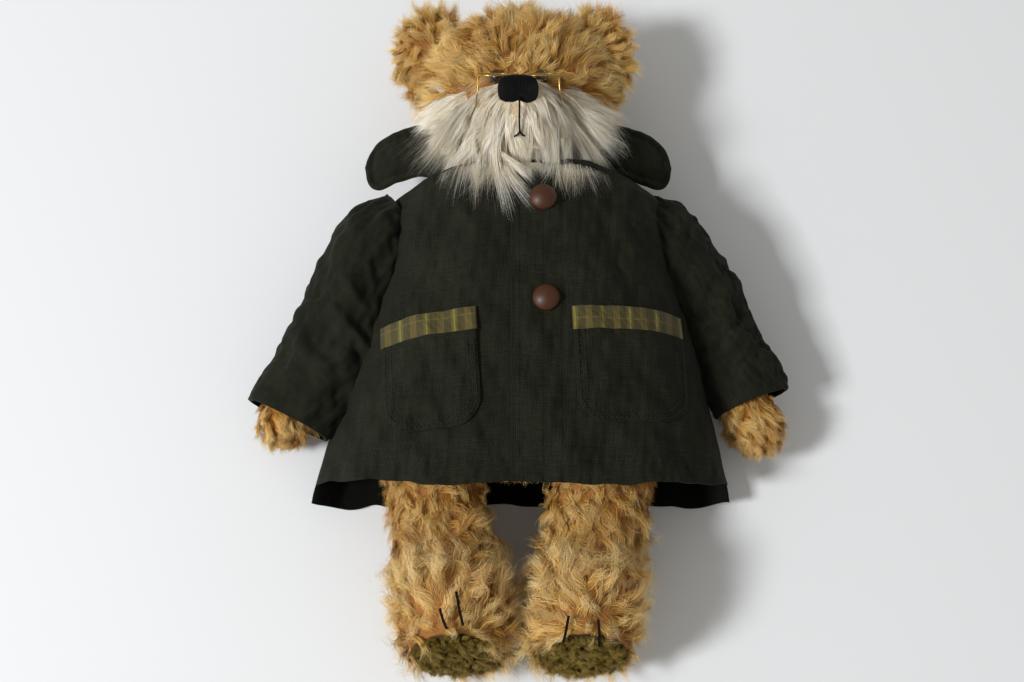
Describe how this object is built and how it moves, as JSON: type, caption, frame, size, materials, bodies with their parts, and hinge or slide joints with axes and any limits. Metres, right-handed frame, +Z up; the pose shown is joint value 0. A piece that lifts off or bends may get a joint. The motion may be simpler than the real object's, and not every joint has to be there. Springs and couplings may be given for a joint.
{
  "type": "jointed teddy bear",
  "caption": "Jointed mohair teddy bear with a long cream beard, wire spectacles and a buttoned coat, lying on its back; head, arms and legs turn on disc joints.",
  "frame": {"origin": "on the table plane under the bear's back, on its centre plane, level with its belly", "axes": "+Z up from the table to the bear's face and toes, +Y to the top of its head, +X to its own left side"},
  "size_m": [0.3308, 0.4101, 0.114],
  "materials": {
    "golden_mohair": "long-pile golden mohair",
    "cream_mohair": "extra-long cream mohair",
    "coat_cloth": "dark olive plain weave",
    "plaid": "woven plaid",
    "sole_felt": "short olive plush",
    "paw_felt": "short tan plush",
    "black_thread": "satin stitch",
    "stuffing": "packed fibre",
    "fibreboard": "pressed fibreboard",
    "card": "stiff card",
    "bolt_steel": "zinc plated",
    "washer_steel": "zinc plated",
    "gilt_wire": "thin gilt wire",
    "lens": "clear",
    "eye_glass": "polished dark brown",
    "button": "polished horn brown"
  },
  "bodies": {
    "torso": {"coat_back": "coat_cloth", "coat_buttons": "button", "coat_collar": "coat_cloth", "coat_left_front": "coat_cloth", "coat_right_front": "coat_cloth", "left_pocket": "coat_cloth", "left_pocket_trim": "plaid", "lock_nuts": "bolt_steel", "right_pocket": "coat_cloth", "right_pocket_trim": "plaid", "torso_cover": "golden_mohair", "torso_joint_discs": "fibreboard", "torso_joint_washers": "washer_steel", "torso_stuffing": "stuffing"},
    "head": {"head_cover": "golden_mohair", "head_joint_bolt": "bolt_steel", "head_joint_disc": "fibreboard", "head_joint_washer": "washer_steel", "head_stuffing": "stuffing", "left_ear": "golden_mohair", "left_eye": "eye_glass", "mouth_stitch": "black_thread", "muzzle_cover": "cream_mohair", "nose": "black_thread", "right_ear": "golden_mohair", "right_eye": "eye_glass", "spectacle_frame": "gilt_wire", "spectacle_lenses": "lens"},
    "left_arm": {"left_arm_bolt": "bolt_steel", "left_arm_cover": "golden_mohair", "left_arm_disc": "fibreboard", "left_arm_stuffing": "stuffing", "left_arm_washer": "washer_steel", "left_paw_pad": "paw_felt", "left_sleeve": "coat_cloth"},
    "left_leg": {"left_foot_claws": "black_thread", "left_foot_pad": "sole_felt", "left_leg_bolt": "bolt_steel", "left_leg_cover": "golden_mohair", "left_leg_disc": "fibreboard", "left_leg_stuffing": "stuffing", "left_leg_washer": "washer_steel", "left_sole_card": "card"},
    "right_arm": {"right_arm_bolt": "bolt_steel", "right_arm_cover": "golden_mohair", "right_arm_disc": "fibreboard", "right_arm_stuffing": "stuffing", "right_arm_washer": "washer_steel", "right_paw_pad": "paw_felt", "right_sleeve": "coat_cloth"},
    "right_leg": {"right_foot_claws": "black_thread", "right_foot_pad": "sole_felt", "right_leg_bolt": "bolt_steel", "right_leg_cover": "golden_mohair", "right_leg_disc": "fibreboard", "right_leg_stuffing": "stuffing", "right_leg_washer": "washer_steel", "right_sole_card": "card"}
  },
  "joints": [
    {"name": "head_turn", "type": "hinge", "parent": "torso", "child": "head", "pos_m": [0, 0.1175, 0.048], "axis": [0, 1, 0], "range_deg": [-90, 90], "deforming": ["coat_collar"]},
    {"name": "left_shoulder", "type": "hinge", "parent": "torso", "child": "left_arm", "pos_m": [0.038, 0.068, 0.048], "axis": [-1, 0, 0], "range_deg": [-10, 120], "deforming": ["left_sleeve"]},
    {"name": "right_shoulder", "type": "hinge", "parent": "torso", "child": "right_arm", "pos_m": [-0.038, 0.068, 0.048], "axis": [-1, 0, 0], "range_deg": [-10, 120], "deforming": ["right_sleeve"]},
    {"name": "left_hip", "type": "hinge", "parent": "torso", "child": "left_leg", "pos_m": [0.026, -0.05, 0.046], "axis": [-1, 0, 0], "range_deg": [-10, 85], "deforming": ["coat_left_front", "left_pocket", "left_pocket_trim"]},
    {"name": "right_hip", "type": "hinge", "parent": "torso", "child": "right_leg", "pos_m": [-0.026, -0.05, 0.046], "axis": [-1, 0, 0], "range_deg": [-10, 85], "deforming": ["coat_right_front", "right_pocket", "right_pocket_trim"]}
  ]
}
